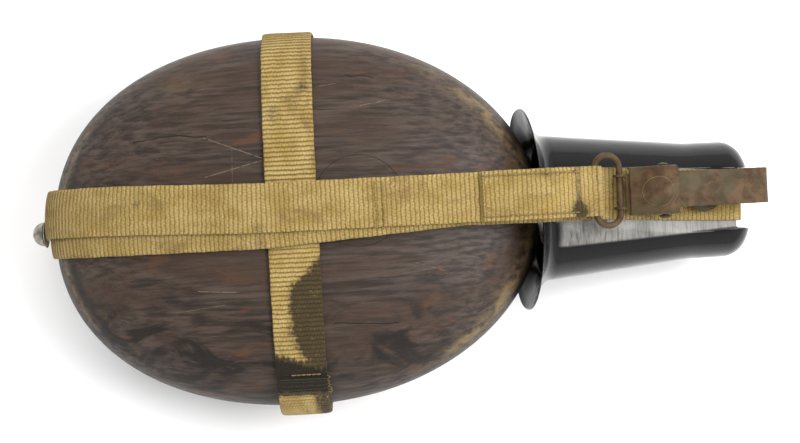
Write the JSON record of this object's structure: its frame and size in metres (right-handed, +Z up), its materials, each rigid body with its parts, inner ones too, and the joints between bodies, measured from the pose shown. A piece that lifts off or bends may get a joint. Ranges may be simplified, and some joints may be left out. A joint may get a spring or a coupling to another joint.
{
  "type": "wood-covered canteen with cup",
  "caption": "Oval canteen with wooden shells over a metal bottle, a screw cap under a moulded drinking cup, webbing straps with a buckle, and a snap hook.",
  "frame": {"origin": "centre of the whole canteen's footprint, on the surface it lies on", "axes": "+X along the canteen from its bottom stud to its cup and hook, +Z up out of its front face"},
  "size_m": [0.3181, 0.1666, 0.0834],
  "materials": {
    "wood": "dark stained wood, worn pale along the edges",
    "webbing": "khaki woven cotton webbing, stained",
    "aluminium": "dull",
    "stud_metal": "dull, dented",
    "rubber": "matte",
    "black_plastic": "glossy black moulded resin",
    "buckle_steel": "dull plated steel",
    "rusty_steel": "brown rusted steel with olive paint left",
    "spring_steel": "dark"
  },
  "bodies": {
    "flask": {"front_wood_shell": "wood", "back_wood_shell": "wood", "aluminium_bottle": "aluminium", "bottle_neck": "aluminium", "neck_collar": "aluminium", "bottom_stud": "stud_metal", "stud_washer": "stud_metal", "waist_strap": "webbing", "waist_strap_lap": "webbing", "cup_strap_lower": "webbing", "carry_strap": "webbing"},
    "seal": {"cap_seal": "rubber"},
    "cap": {"screw_cap": "black_plastic"},
    "cup": {"cup": "black_plastic", "cup_strap_over": "webbing", "cup_strap_back": "webbing", "cup_strap_tail": "webbing", "strap_keeper": "webbing", "buckle_frame": "buckle_steel"},
    "prong": {"buckle_prong": "buckle_steel"},
    "strap_end": {"carry_strap_end": "webbing"},
    "ring": {"hook_ring": "rusty_steel"},
    "hook": {"hook_body": "rusty_steel", "hook_sleeve": "rusty_steel", "gate_pin": "rusty_steel", "gate_spring": "spring_steel"},
    "gate": {"hook_gate": "rusty_steel"}
  },
  "joints": [
    {"name": "cup_slide", "type": "slide", "parent": "flask", "child": "cup", "axis": [1, 0, 0], "range_m": [0, 0.05]},
    {"name": "cap_lift", "type": "slide", "parent": "flask", "child": "seal", "axis": [1, 0, 0], "range_m": [0, 0.012]},
    {"name": "cap_turn", "type": "hinge", "parent": "seal", "child": "cap", "pos_m": [0.0786, 0.00105, 0.0394], "axis": [1, 0, 0], "range_deg": [0, 1440]},
    {"name": "strap_lift", "type": "hinge", "parent": "cup", "child": "strap_end", "pos_m": [0.0368, 0.00695, 0.08105], "axis": [0, -1, 0], "range_deg": [0, 90]},
    {"name": "ring_swing", "type": "hinge", "parent": "strap_end", "child": "ring", "pos_m": [0.08375, 0.00695, 0.073], "axis": [0, -1, 0], "range_deg": [0, 60]},
    {"name": "hook_swing", "type": "hinge", "parent": "ring", "child": "hook", "pos_m": [0.09451, 0.00605, 0.06865], "axis": [0, -1, 0], "range_deg": [0, 60]},
    {"name": "gate_press", "type": "hinge", "parent": "hook", "child": "gate", "pos_m": [0.1133, 0.00605, 0.06758], "axis": [0, -1, 0], "range_deg": [0, 11], "stiffness_Nm_per_rad": 0.02, "springref_deg": -5.73},
    {"name": "prong_swing", "type": "hinge", "parent": "cup", "child": "prong", "pos_m": [0.10816, 0.00225, 0.00643], "axis": [0, 1, 0], "range_deg": [0, 60]}
  ],
  "couplings": [
    {"joint": "cap_lift", "follows": "cap_turn", "m_per_rad": 0.00047746}
  ]
}
